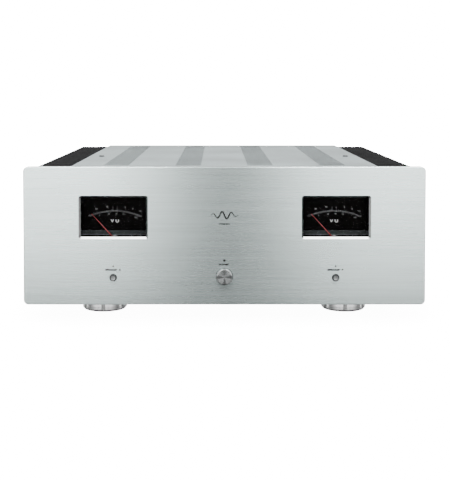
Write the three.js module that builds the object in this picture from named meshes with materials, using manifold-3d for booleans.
// A full-width stereo power amplifier: a thick brushed front panel with two level meters and three push
// buttons, finned heatsinks for its sides, a slotted top cover, round feet, and the parts that work inside.
//
// Millimetres, +Z up, +Y from front to back, +X to the right as seen from the front. The origin is on the
// surface that the amplifier stands on, under the middle of its outline.

import * as THREE from "three";
import { mergeVertices } from "three/addons/utils/BufferGeometryUtils.js";
import Module from "manifold-3d";

const wasm = await Module();
wasm.setup();

// ------------------------------------------------------------------------------------------------------
// Driving dimensions
// ------------------------------------------------------------------------------------------------------

const GAP = 0.3; // between pieces that touch face to face

// Enclosure. Depths are measured back from the front panel's face.
const WIDTH = 430;
const PANEL_HEIGHT = 148;
const PANEL_THICKNESS = 10;
const PANEL_BEVEL = 1;
const PANEL_CORNER = 5;
const GROUND_CLEARANCE = 16; // surface to the front panel's lower edge
const REAR_FACE = 412.5; // outer face of the rear panel
const REAR_THICKNESS = 2;
const BASE_Z = 20; // underside of the base plate
const BASE_THICKNESS = 1.7;
const SUBPANEL_THICKNESS = 1.5;
const COVER_TOP = GROUND_CLEARANCE + PANEL_HEIGHT - 0.6;
const COVER_THICKNESS = 1.5;
const COVER_BACK = 414;
const COVER_HALF_WIDTH = 165.8;
const CHASSIS_HALF_WIDTH = 169; // to the heatsinks' fins

// Heatsinks
const SINK_BASE = 8;
const SINK_FIN_LENGTH = 37.3;
const SINK_FIN_THICKNESS = 2.4;
const SINK_FIN_COUNT = 36;

// Vent slots in the top cover, in four bands that run front to back
const VENT_BANDS = [-118.5, -39.5, 39.5, 118.5];
const VENT_LENGTH = 28;
const VENT_WIDTH = 5;
const VENT_PITCH = 10;
const VENT_COUNT = 37;
const VENT_FIRST = 32;

// The brace under the cover, and the screws into its ends
const BRACE = { y: 168, halfDepth: 7, drop: 9, wall: 1.5 };
const SCREW = { x: 150.2, shank: 1.7, hole: 2, head: 3.4, headHeight: 1.2, reach: 5 };

// Meters
const METER_X = 119.2;
const METER_Z = GROUND_CLEARANCE + PANEL_HEIGHT / 2 + 19.3; // centre of the window
const WINDOW_WIDTH = 70;
const WINDOW_HEIGHT = 42;
const WINDOW_CHAMFER = 2;
const REBATE = 4; // width of the step that holds the lens behind the panel
const LENS_BACK_STEP = 3; // depth of that step
const NEEDLE_PIVOT_DROP = 25; // pivot below the window's centre
const NEEDLE_LENGTH = 37;
const NEEDLE_REST_ANGLE = THREE.MathUtils.degToRad(42.5); // left of upright
const NEEDLE_PLANE = 17.9;
const BAND_FRONT = 19.2; // the dial is thicker along its lower edge
const BAND_TOP = -15.8; // from the window's centre
const DIAL_FRONT = 20.5;
const DIAL_BACK = 21.3;
const HOUSING = { halfWidth: 39.5, low: -39, high: 24.5, wall: 1.8, back: 44 };
const MAGNET = { front: 24, step: 30, back: 38, neck: 5, radius: 9, bore: 1.8 };

// Push buttons and the lamps above them
const POWER_BUTTON = { x: 0, z: 46.5, radius: 8.75, proud: 4.5, hole: 9.1, lampZ: 63.5, lamp: 1.1 };
const SPEAKER_BUTTON = { x: 119, z: 45.2, radius: 3.6, proud: 2.6, hole: 4.2, lampZ: 57.4, lamp: 0.7 };

// How far the buttons travel, and the board and switch that they press
const POWER_TRAVEL = 3;
const SPEAKER_TRAVEL = 2;
const STEM_END = 19.7;
const COLLAR_WIDTH = 1.6;
const COLLAR_THICKNESS = 1.5;
const CONTROL_BOARD = { front: 26, halfWidth: 132, low: 30, high: 69 };
const MAINS_SWITCH = { half: 7, back: 50, tagEnd: 56 };

// Feet
const FOOT_X = 134.5;
const FOOT_FRONT = 60;
const FOOT_REAR = 350;
const FOOT_RADIUS = 24.8;
const FOOT_PAD = { outer: 23.4, inner: 17.8, thickness: 1.2, recess: 4.3 };

// Speaker terminals: two rows, A above B, of a red and a black post on each channel's block
const BLOCK_X = 112;
const BLOCK_Z = 92;
const POST_PITCH_X = 19;
const POST_PITCH_Z = 32;
const POST_END = 24; // behind the rear face
const POST_COLLAR = { radius: 7.2, height: 6.2 };
const KNOB = { bore: 3.6, radius: 7.5, edge: 1.4, clearance: 0.4 };

// Input sockets and the mains inlet with its fuse drawer
const INPUT = { z: 120, spread: 13, halfWidth: 22, halfHeight: 9, body: 14 };
const INLET = { z: 62, width: 28, height: 32, depth: 24, flange: 2.2, rimWidth: 50, rimHeight: 38 };
const RECESS = { middle: -5.5, halfWidth: 12.2, halfHeight: 8.3, corner: 5, depth: 15.5 };
const DRAWER = { z: 9.8, halfWidth: 11.7, halfHeight: 3.5, back: -18 };

// Power supply
const TRANSFORMER = { y: 136, radius: 75, bore: 22, height: 62, round: 12 };
const SUPPLY = { y: 282, width: 170, length: 116, z: 34 };
const CAPACITOR = { radius: 20, height: 76, spreadX: 24, spreadY: 26 };

// Amplifier channels: transistors on each heatsink, and the driver board above them
const TRANSISTOR = { count: 6, pitch: 46, halfWidth: 8, low: 44, high: 66, thickness: 5 };
const CLAMP_BAR = { low: 52, high: 62, overhang: 14, thickness: 4 };
const DRIVER_BOARD = { halfLength: 130, low: 76, high: 148, standoff: 6 };

// The outline's middle is the origin, so the front face lies here
const FRONT_Y = -(REAR_FACE + POST_END - POWER_BUTTON.proud) / 2;

// Levels and planes worked out from those
const PANEL_MIDDLE_Z = GROUND_CLEARANCE + PANEL_HEIGHT / 2;
const COVER_UNDERSIDE = COVER_TOP - COVER_THICKNESS;
const INSIDE_TOP = COVER_UNDERSIDE - GAP;
const FLOOR = BASE_Z + BASE_THICKNESS + GAP; // where the inner parts stand
const SINK_INNER = CHASSIS_HALF_WIDTH - SINK_BASE;
const SUBPANEL_FRONT = PANEL_THICKNESS + GAP;
const SUBPANEL_BACK = SUBPANEL_FRONT + SUBPANEL_THICKNESS;
const REAR_INNER = REAR_FACE - REAR_THICKNESS;
const BOARD = 1.6; // thickness of a circuit board

// ------------------------------------------------------------------------------------------------------
// Materials
// ------------------------------------------------------------------------------------------------------

function finish(color, metalness, roughness) {
  return new THREE.MeshStandardMaterial({ color, metalness, roughness });
}

const brushedAluminium = finish(0xc4c8c8, 1, 0.35);
const satinAluminium = finish(0xc6cacb, 0.9, 0.45);
const blackAluminium = finish(0x2a2b2c, 0.6, 0.55);
const turnedMetal = finish(0xc9c9c9, 1, 0.2);
const zincSteel = finish(0x9ea2a4, 0.9, 0.5);
const blackPlastic = finish(0x141415, 0, 0.5);
const dialBlack = finish(0x08080a, 0, 0.7);
const needleRed = finish(0xb3262a, 0, 0.45);
const rubber = finish(0x161616, 0, 0.9);
const lampTint = finish(0x1a1210, 0, 0.3);
const circuitBoard = finish(0x1f4a2c, 0, 0.6);
const windingTape = finish(0xb8862e, 0, 0.5);
const sleeveBlue = finish(0x1f2a44, 0, 0.45);
const goldPlate = finish(0xc7a04a, 1, 0.3);
const postRed = finish(0x8e1b1d, 0, 0.35);
const postBlack = finish(0x18181a, 0, 0.35);
const clearLens = finish(0xdfe6e6, 0, 0.05);
clearLens.transparent = true;
clearLens.opacity = 0.25;

// ------------------------------------------------------------------------------------------------------
// Shapes and solids
// ------------------------------------------------------------------------------------------------------

// A rectangle centred on (x, y), with round corners if a radius is given.
function rectangle(width, height, radius = 0, x = 0, y = 0) {
  const [left, right] = [x - width / 2, x + width / 2];
  const [low, high] = [y - height / 2, y + height / 2];
  const shape = new THREE.Shape();
  if (!radius) {
    shape.moveTo(left, low).lineTo(right, low).lineTo(right, high).lineTo(left, high);
    return shape.closePath();
  }
  shape.moveTo(left + radius, low);
  shape.lineTo(right - radius, low).absarc(right - radius, low + radius, radius, -Math.PI / 2, 0);
  shape.lineTo(right, high - radius).absarc(right - radius, high - radius, radius, 0, Math.PI / 2);
  shape.lineTo(left + radius, high).absarc(left + radius, high - radius, radius, Math.PI / 2, Math.PI);
  shape.lineTo(left, low + radius).absarc(left + radius, low + radius, radius, Math.PI, Math.PI * 1.5);
  return shape;
}

// An outline drawn in X and Z, run back from one depth to another.
function plate(shape, front, back, options = {}) {
  const bevel = options.bevelThickness ?? 0;
  const depth = back - front - 2 * bevel;
  const settings = { depth, bevelEnabled: bevel > 0, curveSegments: 5, ...options };
  const made = new THREE.ExtrudeGeometry(shape, settings);
  return made.rotateX(Math.PI / 2).translate(0, back - bevel, 0);
}

// An outline drawn in X and Y, raised from one height to another.
function raised(shape, low, high) {
  const settings = { depth: high - low, bevelEnabled: false, curveSegments: 5 };
  const made = new THREE.ExtrudeGeometry(shape, settings);
  return made.translate(0, 0, low);
}

function block([x0, x1], [y0, y1], [z0, z1]) {
  const made = new THREE.BoxGeometry(x1 - x0, y1 - y0, z1 - z0);
  return made.translate((x0 + x1) / 2, (y0 + y1) / 2, (z0 + z1) / 2);
}

// A profile of [radius, distance] pairs turned about the Y axis, through (x, z).
function turnedY(profile, segments, x = 0, z = 0) {
  const points = profile.map(([radius, along]) => new THREE.Vector2(radius, along));
  return new THREE.LatheGeometry(points, segments).translate(x, 0, z);
}

// The same about the Z axis, through (x, y), or about the X axis, through (y, z).
const turnedZ = (profile, segments, x = 0, y = 0) =>
  turnedY(profile, segments).rotateX(Math.PI / 2).translate(x, y, 0);
const turnedX = (profile, segments, y = 0, z = 0) =>
  turnedY(profile, segments).rotateZ(-Math.PI / 2).translate(0, y, z);

// A plain round bar along the axis of one of the turning functions.
const bar = (radius, from, to) => [[0, from], [radius, from], [radius, to], [0, to]];

function solid(geometry) {
  const bare = new THREE.BufferGeometry().setAttribute("position", geometry.getAttribute("position"));
  bare.setIndex(geometry.getIndex());
  const merged = mergeVertices(bare, 1e-4);
  return new wasm.Manifold(
    new wasm.Mesh({
      numProp: 3,
      vertProperties: new Float32Array(merged.attributes.position.array),
      triVerts: new Uint32Array(merged.index.array),
    }),
  );
}

function geometryOf(manifold) {
  const mesh = manifold.getMesh();
  const geometry = new THREE.BufferGeometry();
  geometry.setAttribute("position", new THREE.BufferAttribute(mesh.vertProperties, 3));
  geometry.setIndex(new THREE.BufferAttribute(mesh.triVerts, 1));
  geometry.computeVertexNormals();
  return geometry;
}

const join = (geometries) => geometries.map(solid).reduce((whole, piece) => whole.add(piece));
const joined = (...geometries) => geometryOf(join(geometries));
const cut = (geometries, tools) => geometryOf(join(geometries).subtract(join(tools)));

const amplifier = new THREE.Group();
amplifier.name = "power_amplifier";

// Everything below is placed by its depth behind the front face.
const chassis = new THREE.Group();
chassis.position.y = FRONT_Y;
amplifier.add(chassis);

function add(name, geometry, material, parent = chassis) {
  const mesh = new THREE.Mesh(geometry, material);
  mesh.name = name;
  parent.add(mesh);
  return mesh;
}

function groupAt(x, y, z, parent = chassis) {
  const group = new THREE.Group();
  group.position.set(x, y, z);
  parent.add(group);
  return group;
}

// ------------------------------------------------------------------------------------------------------
// Enclosure
// ------------------------------------------------------------------------------------------------------

const buttons = [
  { name: "power", ...POWER_BUTTON },
  { name: "speaker_a", ...SPEAKER_BUTTON, x: -SPEAKER_BUTTON.x },
  { name: "speaker_b", ...SPEAKER_BUTTON },
];

// The window's opening with its chamfer, which is widest at the panel's face.
function windowCutter(x) {
  const opening = rectangle(WINDOW_WIDTH, WINDOW_HEIGHT, 1, x, METER_Z);
  const chamfer = { bevelThickness: WINDOW_CHAMFER, bevelSize: WINDOW_CHAMFER, bevelSegments: 1 };
  const funnel = plate(opening, -3 * WINDOW_CHAMFER, WINDOW_CHAMFER, chamfer);
  const rebate = rectangle(WINDOW_WIDTH + 2 * REBATE, WINDOW_HEIGHT + 2 * REBATE, 0, x, METER_Z);
  const past = PANEL_THICKNESS + 1;
  return [funnel, plate(opening, -1, past), plate(rebate, PANEL_THICKNESS - LENS_BACK_STEP, past)];
}

// A button's hole with its edge broken, and the small hole of the lamp above it.
function buttonHoles({ x, z, hole, lampZ, lamp }) {
  const edge = 0.5;
  const past = PANEL_THICKNESS + 1;
  const profile = [[0, -1], [hole + edge + 1, -1], [hole, edge], [hole, past], [0, past]];
  return [turnedY(profile, 24, x, z), turnedY(bar(lamp + 0.2, -1, past), 8, x, lampZ)];
}

function frontPanel() {
  const outline = rectangle(WIDTH, PANEL_HEIGHT, PANEL_CORNER, 0, PANEL_MIDDLE_Z);
  const bevel = { bevelThickness: PANEL_BEVEL, bevelSize: PANEL_BEVEL, bevelOffset: -PANEL_BEVEL };
  const body = plate(outline, 0, PANEL_THICKNESS, { ...bevel, bevelSegments: 1 });
  const tools = [...windowCutter(-METER_X), ...windowCutter(METER_X), ...buttons.flatMap(buttonHoles)];
  return cut([body], tools);
}

function frontSubpanel() {
  const halfWidth = SINK_INNER - GAP;
  const body = block([-halfWidth, halfWidth], [SUBPANEL_FRONT, SUBPANEL_BACK], [FLOOR, INSIDE_TOP]);
  const [from, to] = [SUBPANEL_FRONT - 1, SUBPANEL_BACK + 1];
  const windows = [-METER_X, METER_X].map((x) => {
    return plate(rectangle(WINDOW_WIDTH + 6, WINDOW_HEIGHT + 6, 0, x, METER_Z), from, to);
  });
  const holes = buttons.flatMap(({ x, z, hole, lampZ }) => [
    turnedY(bar(hole + 0.3, from, to), 16, x, z),
    turnedY(bar(2.2, from, to), 8, x, lampZ),
  ]);
  return cut([body], [...windows, ...holes]);
}

function topCover() {
  const across = [-COVER_HALF_WIDTH, COVER_HALF_WIDTH];
  const body = block(across, [SUBPANEL_FRONT, COVER_BACK], [COVER_UNDERSIDE, COVER_TOP]);
  const slots = [];
  for (const x of VENT_BANDS) {
    for (let i = 0; i < VENT_COUNT; i++) {
      slots.push(rectangle(VENT_LENGTH, VENT_WIDTH, 0, x, VENT_FIRST + i * VENT_PITCH));
    }
  }
  const [below, above] = [COVER_UNDERSIDE - 1, COVER_TOP + 1];
  return cut([body], [raised(slots, below, above), ...screwHoles(below, above)]);
}

// Clearance holes for the two screws that hold the cover to the brace beneath it.
function screwHoles(low, high) {
  return [-SCREW.x, SCREW.x].map((x) => turnedZ(bar(SCREW.hole, low, high), 8, x, BRACE.y));
}

function addCoverScrew(side, x) {
  const { shank, head, headHeight, reach } = SCREW;
  const under = COVER_TOP + GAP;
  const [low, top] = [INSIDE_TOP - reach, under + headHeight];
  const crown = [[head, under], [head - 0.4, top - 0.3], [head - 1.2, top], [0, top]];
  const profile = [[0, low], [shank, low], [shank, under], ...crown];
  add(`cover_screw_${side}`, turnedZ(profile, 12), zincSteel, groupAt(x, BRACE.y, 0));
}

// A channel-shaped brace that ties the heatsinks together.
function crossBrace() {
  const { y, halfDepth, drop, wall } = BRACE;
  const half = SINK_INNER - GAP;
  const inside = halfDepth - wall;
  const below = INSIDE_TOP - drop - 1;
  const body = block([-half, half], [y - halfDepth, y + halfDepth], [INSIDE_TOP - drop, INSIDE_TOP]);
  const channel = block([-half - 1, half + 1], [y - inside, y + inside], [below, INSIDE_TOP - wall]);
  return cut([body], [channel, ...screwHoles(below, COVER_TOP)]);
}

// The profile seen from above, extruded upwards: a thick base with fins that point away from the chassis.
function heatsink() {
  const start = PANEL_THICKNESS + GAP;
  const length = REAR_INNER - GAP - start;
  const pitch = (length - SINK_FIN_THICKNESS) / (SINK_FIN_COUNT - 1);
  const root = CHASSIS_HALF_WIDTH;
  const tip = root + SINK_FIN_LENGTH;
  const outline = new THREE.Shape().moveTo(SINK_INNER, start + length).lineTo(SINK_INNER, start);
  for (let i = 0; i < SINK_FIN_COUNT; i++) {
    const y = start + i * pitch;
    outline.lineTo(tip, y).lineTo(tip, y + SINK_FIN_THICKNESS);
    if (i < SINK_FIN_COUNT - 1) outline.lineTo(root, y + SINK_FIN_THICKNESS).lineTo(root, y + pitch);
  }
  return raised(outline.closePath(), FLOOR, INSIDE_TOP);
}

function basePlate() {
  const across = [-CHASSIS_HALF_WIDTH, CHASSIS_HALF_WIDTH];
  return block(across, [SUBPANEL_BACK + GAP, REAR_INNER - GAP], [BASE_Z, BASE_Z + BASE_THICKNESS]);
}

function rearPanel() {
  const across = [-CHASSIS_HALF_WIDTH, CHASSIS_HALF_WIDTH];
  const body = block(across, [REAR_INNER, REAR_FACE], [BASE_Z, INSIDE_TOP]);
  const [from, to] = [REAR_INNER - 1, REAR_FACE + 1];
  const posts = postPlaces().map(({ x, z }) => turnedY(bar(4.7, from, to), 10, x, z));
  const sockets = [-INPUT.spread, INPUT.spread].map((x) => turnedY(bar(4.6, from, to), 14, x, INPUT.z));
  const inlet = plate(rectangle(INLET.width + 0.6, INLET.height + 0.6, 0, 0, INLET.z), from, to);
  return cut([body], [...posts, ...sockets, inlet]);
}

// ------------------------------------------------------------------------------------------------------
// Feet
// ------------------------------------------------------------------------------------------------------

function addFoot(place, x, y) {
  const group = groupAt(x, y, 0);
  const { outer, inner, thickness, recess } = FOOT_PAD;
  const [bottom, top, edge] = [thickness + GAP, BASE_Z - GAP, 0.8];
  const profile = [
    [0, recess], [inner + 0.5, recess], [inner + 0.5, bottom], [FOOT_RADIUS - edge, bottom],
    [FOOT_RADIUS, bottom + edge], [FOOT_RADIUS, top - edge], [FOOT_RADIUS - edge, top], [0, top],
  ];
  add(`foot_${place}`, turnedZ(profile, 32), turnedMetal, group);
  const padTop = recess - GAP;
  const pad = [[0, 0], [outer, 0], [outer, thickness], [inner, thickness], [inner, padTop], [0, padTop]];
  add(`foot_pad_${place}`, turnedZ(pad, 24), rubber, group);
}

// ------------------------------------------------------------------------------------------------------
// Front controls
// ------------------------------------------------------------------------------------------------------

// A turned cap in the panel's hole, a collar that stops it behind the sub-panel, and a stem to its switch.
function addButton({ name, x, z, radius, proud }) {
  const [chamfer, stem, wide] = [radius * 0.12, radius * 0.4, radius + COLLAR_WIDTH];
  const collar = SUBPANEL_BACK + GAP;
  const collarBack = collar + COLLAR_THICKNESS;
  const profile = [
    [0, -proud], [radius - chamfer, -proud], [radius, chamfer - proud], [radius, collar],
    [wide, collar], [wide, collarBack], [stem, collarBack], [stem, STEM_END], [0, STEM_END],
  ];
  add(`${name}_button`, turnedY(profile, radius > 5 ? 28 : 16), turnedMetal, groupAt(x, 0, z));
}

// A light pipe from the control board to just inside the panel's face.
function addLamp({ name, x, lampZ, lamp }) {
  const end = CONTROL_BOARD.front - GAP;
  const [face, step, wide] = [0.2, SUBPANEL_BACK + GAP, 2.4];
  const profile = [[0, face], [lamp, face], [lamp, step], [wide, step], [wide, end], [0, end]];
  add(`${name}_lamp`, turnedY(profile, 8), lampTint, groupAt(x, 0, lampZ));
}

function addControlBoard() {
  const { front, halfWidth, low, high } = CONTROL_BOARD;
  const back = front + BOARD;
  const board = block([-halfWidth, halfWidth], [front, back], [low, high]);
  const pillar = bar(3, SUBPANEL_BACK + GAP, back);
  const pillars = [-126, -60, 60, 126].map((x) => turnedY(pillar, 8, x, high - 4));
  const switchFront = STEM_END + SPEAKER_TRAVEL + GAP;
  const switches = buttons.slice(1).map(({ x, z }) => {
    return block([x - 3, x + 3], [switchFront, back], [z - 3, z + 3]);
  });
  const chips = [-40, 40].map((x) => block([x - 8, x + 8], [front, back + 3], [46, 56]));
  const half = MAINS_SWITCH.half + 0.5;
  const rise = [POWER_BUTTON.z - half, POWER_BUTTON.z + half];
  const opening = block([-half, half], [front - 1, back + 1], rise);
  add("control_board", cut([board, ...pillars, ...switches, ...chips], [opening]), circuitBoard);
}

// The switch that the power button's stem pushes.
function addMainsSwitch() {
  const group = groupAt(0, 0, POWER_BUTTON.z);
  const { half, back, tagEnd } = MAINS_SWITCH;
  const body = block([-half, half], [STEM_END + POWER_TRAVEL + GAP, back], [-half, half]);
  const tags = [-4, 4].map((x) => block([x - 1, x + 1], [back - 1, tagEnd], [-0.5, 0.5]));
  add("mains_switch", joined(body, ...tags), blackPlastic, group);
}

// ------------------------------------------------------------------------------------------------------
// Level meters
// ------------------------------------------------------------------------------------------------------

function addMeter(side, x) {
  const group = groupAt(x, 0, METER_Z);
  addLens(side, group);
  addHousing(side, group);
  addDial(side, group);
  addMovement(side, groupAt(0, 0, -NEEDLE_PIVOT_DROP, group));
  addNeedle(side, groupAt(0, 0, -NEEDLE_PIVOT_DROP, group));
}

function addLens(side, group) {
  const [front, back] = [PANEL_THICKNESS - LENS_BACK_STEP + GAP, PANEL_THICKNESS - GAP];
  const outline = rectangle(WINDOW_WIDTH + 2 * REBATE - 2 * GAP, WINDOW_HEIGHT + 2 * REBATE - 2 * GAP);
  add(`meter_lens_${side}`, plate(outline, front, back), clearLens, group);
}

// A box that is open at the front, with a ledge for the dial and a deeper well for the movement.
function addHousing(side, group) {
  const { halfWidth, low, high, wall, back } = HOUSING;
  const [front, ledge, ledgeWidth] = [SUBPANEL_BACK + GAP, DIAL_BACK + GAP, 3];
  const [inside, bottom, top] = [halfWidth - wall, low + wall, high - wall];
  const shell = block([-halfWidth, halfWidth], [front, back], [low, high]);
  const mouth = block([-inside, inside], [front - 1, ledge], [bottom, top]);
  const across = [-inside + ledgeWidth, inside - ledgeWidth];
  const well = block(across, [ledge - 1, back - 2], [bottom + ledgeWidth, top - ledgeWidth]);
  add(`meter_housing_${side}`, cut([shell], [mouth, well]), blackPlastic, group);
}

function addDial(side, group) {
  const { halfWidth, low, high, wall } = HOUSING;
  const width = 2 * (halfWidth - wall - GAP);
  const [bottom, top] = [low + wall + GAP, high - wall - GAP];
  const sheet = (upper, front) => {
    const outline = rectangle(width, upper - bottom, 0, 0, (bottom + upper) / 2);
    outline.holes.push(new THREE.Path().absarc(0, -NEEDLE_PIVOT_DROP, 2.2, 0, 2 * Math.PI));
    return plate(outline, front, DIAL_BACK);
  };
  add(`meter_dial_${side}`, joined(sheet(top, DIAL_FRONT), sheet(BAND_TOP, BAND_FRONT)), dialBlack, group);
}

// The magnet and its pole piece, with a bore for the needle's spindle.
function addMovement(side, group) {
  const { front, step, back, neck, radius, bore } = MAGNET;
  const magnet = [
    [bore, front], [neck, front], [neck, step], [radius, step], [radius, back], [bore, back], [bore, front],
  ];
  const yoke = block([-10, 10], [step + 2, back], [2, 24]);
  const limb = solid(yoke).subtract(solid(turnedY(bar(4, front - 4, back + 12), 8)));
  const core = solid(turnedY(magnet, 14)).add(limb);
  add(`meter_movement_${side}`, geometryOf(core), zincSteel, group);
}

// A tapered pointer with a counterweight, on a hub and spindle. It leans left when the amplifier is silent.
function addNeedle(side, group) {
  const pointer = new THREE.Shape();
  pointer.moveTo(-1.1, 0).lineTo(-0.3, NEEDLE_LENGTH).lineTo(0.3, NEEDLE_LENGTH).lineTo(1.1, 0);
  pointer.lineTo(1.8, -6).lineTo(-1.8, -6).closePath();
  const [hubFront, hubBack, spindleEnd] = [NEEDLE_PLANE - 0.7, NEEDLE_PLANE + 0.7, 36];
  const hub = [[0, hubFront], [4, hubFront], [4, hubBack], [1, hubBack], [1, spindleEnd], [0, spindleEnd]];
  const made = joined(plate(pointer, NEEDLE_PLANE, NEEDLE_PLANE + 0.4), turnedY(hub, 12));
  add(`meter_needle_${side}`, made, needleRed, group).rotation.y = -NEEDLE_REST_ANGLE;
}

// ------------------------------------------------------------------------------------------------------
// Power supply
// ------------------------------------------------------------------------------------------------------

function addTransformer() {
  const { y, radius, bore, height, round } = TRANSFORMER;
  const group = groupAt(0, y, FLOOR);
  const [middle, half] = [(radius + bore) / 2, (radius - bore) / 2 - round];
  const profile = [];
  for (let i = 0; i <= 12; i++) {
    const angle = (i / 12) * 2 * Math.PI + Math.PI / 12;
    const [right, up] = [Math.cos(angle), Math.sin(angle)];
    const [across, along] = [Math.sign(right) * half, Math.sign(up) * (height / 2 - round)];
    profile.push([middle + across + round * right, height / 2 + along + round * up]);
  }
  add("transformer", turnedZ(profile, 28), windingTape, group);

  // A dished plate on the winding, held down by a bolt through its bore
  const top = height + GAP;
  const clamp = [
    [0, GAP], [4, GAP], [4, top - 6], [16, top - 6], [24, top], [40, top], [40, top + 2.5], [24, top + 2.5],
    [16, top - 3.5], [7, top - 3.5], [7, top + 2], [0, top + 2],
  ];
  add("transformer_clamp", turnedZ(clamp, 20), zincSteel, group);
}

function addSupplyBoard() {
  const { y, width, length, z } = SUPPLY;
  const group = groupAt(0, y, z);
  const board = block([-width / 2, width / 2], [-length / 2, length / 2], [0, BOARD]);
  const pillars = [-1, 1].flatMap((i) =>
    [-1, 1].map((j) => turnedZ(bar(3.5, FLOOR - z, BOARD), 8, i * (width / 2 - 7), j * (length / 2 - 7))),
  );
  const rectifiers = [-66, 66].map((x) => block([x - 14, x + 14], [-50, -22], [0, BOARD + 11]));
  const fuses = [-66, 66].flatMap((x) =>
    [8, 26].map((fy) => block([x - 11, x + 11], [fy - 4, fy + 4], [0, 10])),
  );
  add("supply_board", joined(board, ...pillars, ...rectifiers, ...fuses), circuitBoard, group);

  // Four reservoir capacitors, with the groove that their cans are crimped by
  const { radius, height, spreadX, spreadY } = CAPACITOR;
  const foot = BOARD + GAP;
  const end = foot + height;
  const profile = [
    [0, foot], [radius, foot], [radius, foot + 5], [radius - 1.2, foot + 6.5], [radius, foot + 8],
    [radius, end - 1.5], [radius - 1.5, end], [0, end],
  ];
  const places = [-1, 1].flatMap((j) => [-1, 1].map((i) => [i * spreadX, j * spreadY]));
  places.forEach(([x, cy], i) => {
    add(`reservoir_capacitor_${i + 1}`, turnedZ(profile, 18, x, cy), sleeveBlue, group);
  });
}

// ------------------------------------------------------------------------------------------------------
// Amplifier channels, one on each heatsink
// ------------------------------------------------------------------------------------------------------

// Drawn for the right-hand channel. The left-hand one is the same turned half round.
function addChannel(side, turn) {
  const group = groupAt(0, (PANEL_THICKNESS + REAR_FACE) / 2 + 10, 0);
  group.rotation.z = turn;
  const wall = SINK_INNER - GAP;
  add(`output_transistors_${side}`, outputTransistors(wall), blackPlastic, group);
  add(`amplifier_board_${side}`, driverBoard(wall), circuitBoard, group);
}

// Output transistors under one clamp bar, on the heatsink's inner face.
function outputTransistors(wall) {
  const { count, pitch, halfWidth, low, high, thickness } = TRANSISTOR;
  const half = ((count - 1) * pitch) / 2;
  const transistors = [];
  for (let i = 0; i < count; i++) {
    const y = i * pitch - half;
    transistors.push(block([wall - thickness, wall], [y - halfWidth, y + halfWidth], [low, high]));
  }
  const back = wall - thickness + 1;
  const reach = half + CLAMP_BAR.overhang;
  const span = [-reach, reach];
  const clampBar = block([back - CLAMP_BAR.thickness, back], span, [CLAMP_BAR.low, CLAMP_BAR.high]);
  return joined(clampBar, ...transistors);
}

// The driver board above them, with its relay, resistors and small capacitors.
function driverBoard(wall) {
  const { halfLength, low, high, standoff } = DRIVER_BOARD;
  const outer = wall - standoff;
  const inner = outer - BOARD;
  const board = block([inner, outer], [-halfLength, halfLength], [low, high]);
  const pillars = [-122, 0, 122].map((y) => turnedX(bar(3, inner, wall), 8, y, high - 8));
  const resistors = [-92, -46, 0, 46].map((y) => block([inner - 9, outer], [y - 12, y + 12], [82, 91]));
  const capacitors = [-70, -24, 22].map((y) => turnedX(bar(8, inner - 24, outer), 12, y, 118));
  const relay = block([inner - 20, outer], [88, 118], [100, 126]);
  return joined(board, ...pillars, ...resistors, ...capacitors, relay);
}

// ------------------------------------------------------------------------------------------------------
// Rear connections
// ------------------------------------------------------------------------------------------------------

function postPlaces() {
  const columns = [-BLOCK_X, BLOCK_X].flatMap((x) => [x - POST_PITCH_X / 2, x + POST_PITCH_X / 2]);
  const rows = [BLOCK_Z - POST_PITCH_Z / 2, BLOCK_Z + POST_PITCH_Z / 2];
  return columns.flatMap((x) => rows.map((z) => ({ x, z })));
}

// A moulded plate with four insulated posts. Each post is a hollow stud that takes a 4 mm plug in its end.
function addTerminals(side, x) {
  const group = groupAt(x, REAR_FACE + GAP, BLOCK_Z);
  const [end, plugRadius, plugDepth, thread] = [POST_END - GAP, 2.1, 11.7, 3.2];
  const { radius, height } = POST_COLLAR;
  const stud = [
    [0, -15], [4, -15], [4, 0], [radius, 0], [radius, height], [thread, height], [thread, end],
    [plugRadius, end], [plugRadius, end - plugDepth], [0, end - plugDepth],
  ];
  const plateBody = plate(rectangle(46, 62, 4), 0, 3);
  const posts = [];
  for (const [row, j] of [["a", 1], ["b", -1]]) {
    for (const [pole, i] of [["negative", -1], ["positive", 1]]) {
      const [px, pz] = [(i * POST_PITCH_X) / 2, (j * POST_PITCH_Z) / 2];
      posts.push(turnedY(stud, 8, px, pz));
      const seat = groupAt(px, height + KNOB.clearance, pz, group);
      addPostKnob(`post_knob_${side}_${row}_${pole}`, pole, seat);
    }
  }
  add(`terminal_block_${side}`, joined(plateBody, ...posts), blackPlastic, group);
}

// A twelve-sided cap that screws along its stud
function addPostKnob(name, pole, group) {
  const { bore, radius, edge } = KNOB;
  const length = POST_END - POST_COLLAR.height - edge;
  const profile = [
    [bore, 0], [radius - edge, 0], [radius, 1.2], [radius, length - edge], [radius - 0.8, length],
    [bore, length], [bore, 0],
  ];
  add(name, turnedY(profile, 12), pole === "positive" ? postRed : postBlack, group);
}

function addInputSockets() {
  const group = groupAt(0, REAR_FACE, INPUT.z);
  const { halfWidth, halfHeight, body } = INPUT;
  const inner = -REAR_THICKNESS - GAP;
  const moulding = block([-halfWidth, halfWidth], [inner - body, inner], [-halfHeight, halfHeight]);
  const barrel = [
    [0, inner - 1], [4.2, inner - 1], [4.2, GAP], [6, GAP], [6, 1.8], [4.2, 1.8], [4.2, 11], [1.8, 11],
    [1.8, 2], [0, 2],
  ];
  const barrels = [-INPUT.spread, INPUT.spread].map((x) => turnedY(barrel, 14, x, 0));
  add("input_sockets", joined(moulding, ...barrels), goldPlate, group);
}

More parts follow.
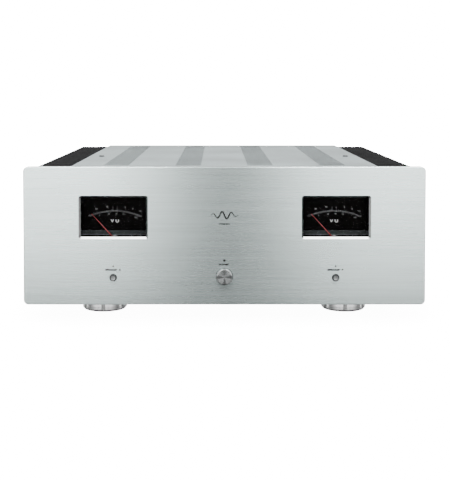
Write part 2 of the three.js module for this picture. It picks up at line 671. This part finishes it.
// A mains inlet for a three-pin connector. Depths are measured from the back of its flange.
function addMainsInlet() {
  const { z, width, height, depth, flange, rimWidth, rimHeight } = INLET;
  const group = groupAt(0, REAR_FACE + GAP, z);
  const body = block([-width / 2, width / 2], [-depth, 1], [-height / 2, height / 2]);
  const rim = plate(rectangle(rimWidth, rimHeight, 4), 0, flange);
  const recessBack = flange - RECESS.depth;
  const recess = plate(recessOutline(), recessBack, flange + 1);
  const drawerBay = block(...drawerBox(GAP, flange + 1));
  const shell = join([body, rim]).subtract(join([recess, drawerBay]));
  const blade = (x, bz) => block([x - 1, x + 1], [recessBack - 1, flange - 5], [bz - 2, bz + 2]);
  const [line, earth] = [RECESS.middle - 1.4, RECESS.middle + 2.6];
  const blades = join([blade(-7, line), blade(7, line), blade(0, earth)]);
  add("mains_inlet", geometryOf(shell.add(blades)), blackPlastic, group);
  addFuseDrawer(group);
}

// The recess's outline, with its two upper corners cut off.
function recessOutline() {
  const { middle, halfWidth: half, halfHeight, corner } = RECESS;
  const [low, high] = [middle - halfHeight, middle + halfHeight];
  const outline = new THREE.Shape().moveTo(-half, low).lineTo(half, low);
  outline.lineTo(half, high - corner).lineTo(half - corner, high);
  return outline.lineTo(corner - half, high).lineTo(-half, high - corner).closePath();
}

// The space that the fuse drawer fills, larger all round by a margin.
function drawerBox(margin, front) {
  const { z, halfWidth, halfHeight, back } = DRAWER;
  const [across, up] = [halfWidth + margin, halfHeight + margin];
  return [[-across, across], [back - margin, front], [z - up, z + up]];
}

function addFuseDrawer(group) {
  const { z, back } = DRAWER;
  const face = INLET.flange;
  const drawer = block(...drawerBox(0, face + 1));
  const front = block([-12.6, 12.6], [face + GAP, face + 2.3], [z - 4.4, z + 4.8]);
  const grip = block([-5, 5], [face + 1, face + 4.1], [z + 3, z + 4.8]);
  const fuseWell = block([-10, 10], [back + 2, face - 4], [z - 2.5, z + 6]);
  add("fuse_drawer", cut([drawer, front, grip], [fuseWell]), blackPlastic, group);
}

// ------------------------------------------------------------------------------------------------------
// Assembly
// ------------------------------------------------------------------------------------------------------

add("front_panel", frontPanel(), brushedAluminium);
add("front_subpanel", frontSubpanel(), zincSteel);
add("top_cover", topCover(), satinAluminium);
add("rear_panel", rearPanel(), blackAluminium);
add("base_plate", basePlate(), zincSteel);
add("heatsink_right", heatsink(), blackAluminium);
const turnedSink = add("heatsink_left", heatsink(), blackAluminium);
turnedSink.rotation.z = Math.PI;
turnedSink.position.y = PANEL_THICKNESS + REAR_INNER;

add("cross_brace", crossBrace(), zincSteel);
addCoverScrew("left", -SCREW.x);
addCoverScrew("right", SCREW.x);

for (const [end, y] of [["front", FOOT_FRONT], ["rear", FOOT_REAR]]) {
  addFoot(`${end}_left`, -FOOT_X, y);
  addFoot(`${end}_right`, FOOT_X, y);
}

buttons.forEach(addButton);
buttons.forEach(addLamp);
addControlBoard();
addMainsSwitch();
addMeter("left", -METER_X);
addMeter("right", METER_X);

addTransformer();
addSupplyBoard();
addChannel("right", 0);
addChannel("left", Math.PI);

addTerminals("left", -BLOCK_X);
addTerminals("right", BLOCK_X);
addInputSockets();
addMainsInlet();

export default amplifier;
